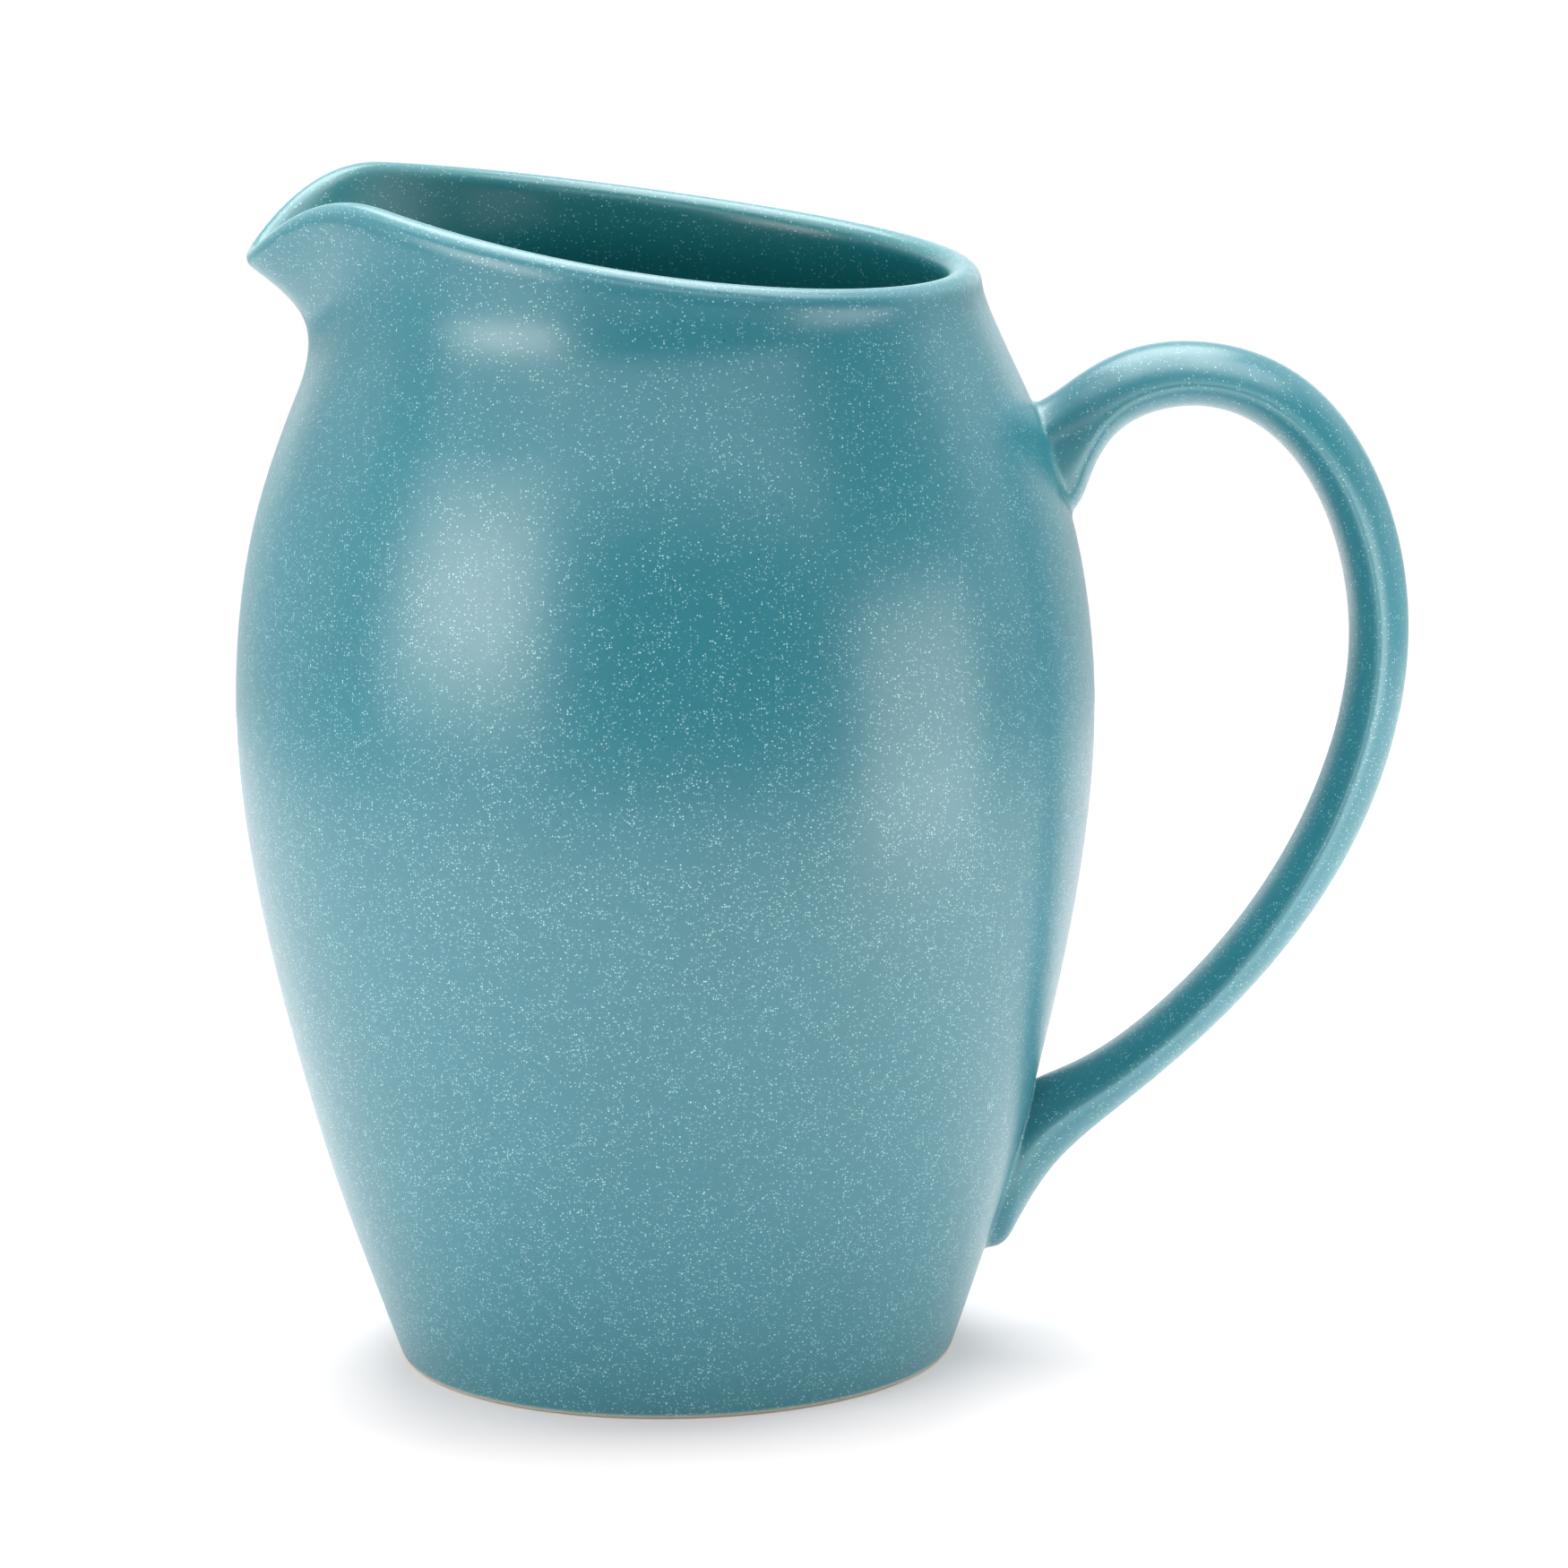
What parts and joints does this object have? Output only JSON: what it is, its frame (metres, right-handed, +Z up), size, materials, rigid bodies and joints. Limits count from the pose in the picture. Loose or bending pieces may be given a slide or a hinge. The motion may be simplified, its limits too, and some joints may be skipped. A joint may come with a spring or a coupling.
{
  "type": "pitcher",
  "caption": "Speckled stoneware pitcher with a barrel belly, a rim that rises to a pinched pouring lip, and a tall looped strap handle.",
  "frame": {"origin": "centre of the foot ring on the table plane", "axes": "+Z up along the body's axis, +X towards the handle, -X towards the pouring lip"},
  "size_m": [0.1983, 0.1448, 0.2013],
  "materials": {
    "stoneware": "fired, matte",
    "slip": "fired, under glaze",
    "glaze_outside": "speckled satin glaze",
    "glaze_inside": "speckled satin glaze"
  },
  "bodies": {
    "root": {"vessel_body": "stoneware", "handle": "stoneware", "upper_handle_slip": "slip", "lower_handle_slip": "slip", "exterior_glaze": "glaze_outside", "interior_glaze": "glaze_inside", "handle_glaze": "glaze_outside", "underside_glaze": "glaze_inside"}
  },
  "joints": []
}
